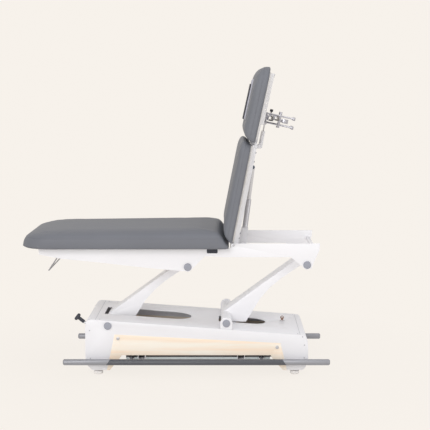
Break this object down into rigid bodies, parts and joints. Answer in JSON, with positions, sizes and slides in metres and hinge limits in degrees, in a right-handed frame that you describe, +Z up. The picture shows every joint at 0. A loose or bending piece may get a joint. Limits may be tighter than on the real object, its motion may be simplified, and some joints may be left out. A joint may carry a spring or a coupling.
{
  "type": "treatment table",
  "caption": "Electric treatment table: grey cushioned leg, back and head sections on two white parallel lift arms, over a white box base with wood panels and long foot bars.",
  "frame": {"origin": "on the floor under the middle of the whole table, as it stands in the picture", "axes": "+X along the couch towards the head end, +Y across it to the far side, +Z up from the floor"},
  "size_m": [1.61, 0.68, 1.6174],
  "materials": {
    "white_paint": "satin",
    "light_wood": "satin",
    "bright_steel": "polished",
    "grey_plastic": "matte",
    "dark_plastic": "matte",
    "dark_rubber": "matte",
    "grey_vinyl": "satin",
    "pale_vinyl": "satin",
    "motor_plastic": "gloss",
    "grey_alloy": "brushed"
  },
  "bodies": {
    "base": {"chassis": "white_paint", "near_side_panel": "white_paint", "far_side_panel": "white_paint", "top_cover": "white_paint", "foot_end_cover": "white_paint", "head_end_cover": "white_paint", "near_wood_panel": "light_wood", "far_wood_panel": "light_wood", "wood_screws": "bright_steel", "cover_screws": "bright_steel", "rear_arm_brackets": "white_paint", "base_axles": "bright_steel", "base_pivot_caps": "grey_plastic", "control_box": "dark_plastic", "mains_inlet": "dark_plastic", "key_switch": "dark_plastic"},
    "key": {"key": "bright_steel"},
    "foot_1": {"levelling_foot_1": "grey_plastic"},
    "foot_2": {"levelling_foot_2": "grey_plastic"},
    "foot_3": {"levelling_foot_3": "grey_plastic"},
    "foot_4": {"levelling_foot_4": "grey_plastic"},
    "near_bar": {"near_foot_bar": "bright_steel", "near_bar_sleeve": "dark_rubber"},
    "far_bar": {"far_foot_bar": "bright_steel", "far_bar_sleeve": "dark_rubber"},
    "castor_pedal": {"castor_pedal": "bright_steel", "castor_pedal_pad": "dark_rubber"},
    "near_wheel": {"near_castor_wheel": "dark_rubber"},
    "far_wheel": {"far_castor_wheel": "dark_rubber"},
    "front_arm": {"front_arm": "white_paint"},
    "rear_arm": {"rear_arm": "white_paint"},
    "lift_body": {"lift_actuator_body": "motor_plastic"},
    "lift_rod": {"lift_actuator_rod": "bright_steel"},
    "top_frame": {"near_frame_plate": "white_paint", "far_frame_plate": "white_paint", "frame_cross_members": "white_paint", "top_axles": "bright_steel", "top_pivot_caps": "grey_plastic", "leg_board": "light_wood", "leg_pad": "grey_vinyl", "paper_roll_bail": "bright_steel", "blank_tag": "dark_plastic", "back_hinge_pins": "bright_steel"},
    "back": {"back_frame": "white_paint", "back_board": "light_wood", "back_pad": "grey_vinyl", "board_bolts": "dark_plastic"},
    "back_actuator_rod": {"back_actuator_rod": "bright_steel"},
    "back_actuator_tube": {"back_actuator_tube": "motor_plastic"},
    "head": {"head_frame": "white_paint", "head_board": "light_wood", "head_pad": "grey_vinyl", "armrest_carrier": "bright_steel"},
    "face_insert": {"face_insert": "pale_vinyl", "face_insert_cover": "dark_plastic"},
    "crossbar": {"armrest_crossbar": "grey_alloy"},
    "clamp_knob": {"clamp_knob": "dark_plastic"},
    "strut_tube": {"strut_tube": "white_paint"},
    "strut_rod": {"strut_rod": "bright_steel"},
    "release_handle": {"release_handle": "dark_plastic"}
  },
  "joints": [
    {"name": "lift_front_arm", "type": "hinge", "parent": "base", "child": "front_arm", "pos_m": [-0.36, 0, 0.262], "axis": [0, -1, 0], "range_deg": [-33, 38]},
    {"name": "lift_rear_arm", "type": "hinge", "parent": "base", "child": "rear_arm", "pos_m": [0.263, 0, 0.2735], "axis": [0, -1, 0], "range_deg": [-33, 38]},
    {"name": "lift_top_frame", "type": "hinge", "parent": "front_arm", "child": "top_frame", "pos_m": [0.0614, 0, 0.57462], "axis": [0, -1, 0], "range_deg": [-38, 33]},
    {"name": "lift_body_swing", "type": "hinge", "parent": "base", "child": "lift_body", "pos_m": [-0.13, 0, 0.1], "axis": [0, -1, 0], "range_deg": [-4.5, 6]},
    {"name": "lift_rod_slide", "type": "slide", "parent": "lift_body", "child": "lift_rod", "axis": [0.9903, 0, 0.1388], "range_m": [-0.07, 0.08]},
    {"name": "back_tilt", "type": "hinge", "parent": "top_frame", "child": "back", "pos_m": [0.3, 0, 0.689], "axis": [0, 1, 0], "range_deg": [0, 79]},
    {"name": "back_rod_swing", "type": "hinge", "parent": "back", "child": "back_actuator_rod", "pos_m": [0.407, 0, 1.07803], "axis": [0, 1, 0], "range_deg": [0, 4]},
    {"name": "back_tube_slide", "type": "slide", "parent": "back_actuator_rod", "child": "back_actuator_tube", "axis": [0.1289, 0, 0.9917], "range_m": [0, 0.08]},
    {"name": "head_tilt", "type": "hinge", "parent": "back", "child": "head", "pos_m": [0.41602, 0, 1.21248], "axis": [0, 1, 0], "range_deg": [0, 50]},
    {"name": "strut_swing", "type": "hinge", "parent": "back", "child": "strut_tube", "pos_m": [0.44597, 0, 1.18995], "axis": [0, 1, 0], "range_deg": [0, 50]},
    {"name": "strut_slide", "type": "slide", "parent": "strut_tube", "child": "strut_rod", "axis": [-0.1875, 0, -0.9823], "range_m": [0, 0.034]},
    {"name": "face_insert_lift", "type": "slide", "parent": "head", "child": "face_insert", "axis": [-0.9774, 0, 0.2113], "range_m": [0, 0.06]},
    {"name": "crossbar_slide", "type": "slide", "parent": "head", "child": "crossbar", "axis": [0.9774, 0, -0.2113], "range_m": [0, 0.018]},
    {"name": "clamp_knob_turn", "type": "hinge", "parent": "head", "child": "clamp_knob", "pos_m": [0.50573, 0, 1.38134], "axis": [0.2113, 0, 0.9774], "continuous": true},
    {"name": "release_handle_swing", "type": "hinge", "parent": "head", "child": "release_handle", "pos_m": [0.50113, 0, 1.53989], "axis": [0, 1, 0], "range_deg": [0, 20], "stiffness_Nm_per_rad": 1.5},
    {"name": "near_bar_press", "type": "hinge", "parent": "base", "child": "near_bar", "pos_m": [0.105, -0.2, 0.077], "axis": [1, 0, 0], "range_deg": [-4, 4], "stiffness_Nm_per_rad": 420},
    {"name": "far_bar_press", "type": "hinge", "parent": "base", "child": "far_bar", "pos_m": [0.105, 0.2, 0.077], "axis": [1, 0, 0], "range_deg": [-4, 4], "stiffness_Nm_per_rad": 420},
    {"name": "castor_pedal_press", "type": "hinge", "parent": "base", "child": "castor_pedal", "pos_m": [-0.38, 0, 0.15], "axis": [0, -1, 0], "range_deg": [0, 20]},
    {"name": "near_castor_roll", "type": "hinge", "parent": "castor_pedal", "child": "near_wheel", "pos_m": [-0.425, -0.172, 0.031], "axis": [0, 1, 0], "continuous": true},
    {"name": "far_castor_roll", "type": "hinge", "parent": "castor_pedal", "child": "far_wheel", "pos_m": [-0.425, 0.172, 0.031], "axis": [0, 1, 0], "continuous": true},
    {"name": "key_turn", "type": "hinge", "parent": "base", "child": "key", "pos_m": [0.572, 0.06, 0.2], "axis": [0, 0, 1], "range_deg": [0, 90]},
    {"name": "foot_1_turn", "type": "hinge", "parent": "base", "child": "foot_1", "pos_m": [-0.415, -0.236, 0.012], "axis": [0, 0, 1], "continuous": true},
    {"name": "foot_2_turn", "type": "hinge", "parent": "base", "child": "foot_2", "pos_m": [-0.415, 0.236, 0.012], "axis": [0, 0, 1], "continuous": true},
    {"name": "foot_3_turn", "type": "hinge", "parent": "base", "child": "foot_3", "pos_m": [0.625, -0.236, 0.012], "axis": [0, 0, 1], "continuous": true},
    {"name": "foot_4_turn", "type": "hinge", "parent": "base", "child": "foot_4", "pos_m": [0.625, 0.236, 0.012], "axis": [0, 0, 1], "continuous": true}
  ],
  "couplings": [
    {"joint": "lift_rear_arm", "follows": "lift_front_arm", "ratio": 1},
    {"joint": "lift_top_frame", "follows": "lift_front_arm", "ratio": -1},
    {"joint": "lift_body_swing", "follows": "lift_front_arm", "ratio": 0.1},
    {"joint": "lift_rod_slide", "follows": "lift_front_arm", "m_per_rad": 0.112},
    {"joint": "back_rod_swing", "follows": "back_tilt", "ratio": 0.039},
    {"joint": "back_tube_slide", "follows": "back_tilt", "m_per_rad": 0.0556},
    {"joint": "strut_swing", "follows": "head_tilt", "ratio": 0.985},
    {"joint": "strut_slide", "follows": "head_tilt", "m_per_rad": 0.0362}
  ]
}
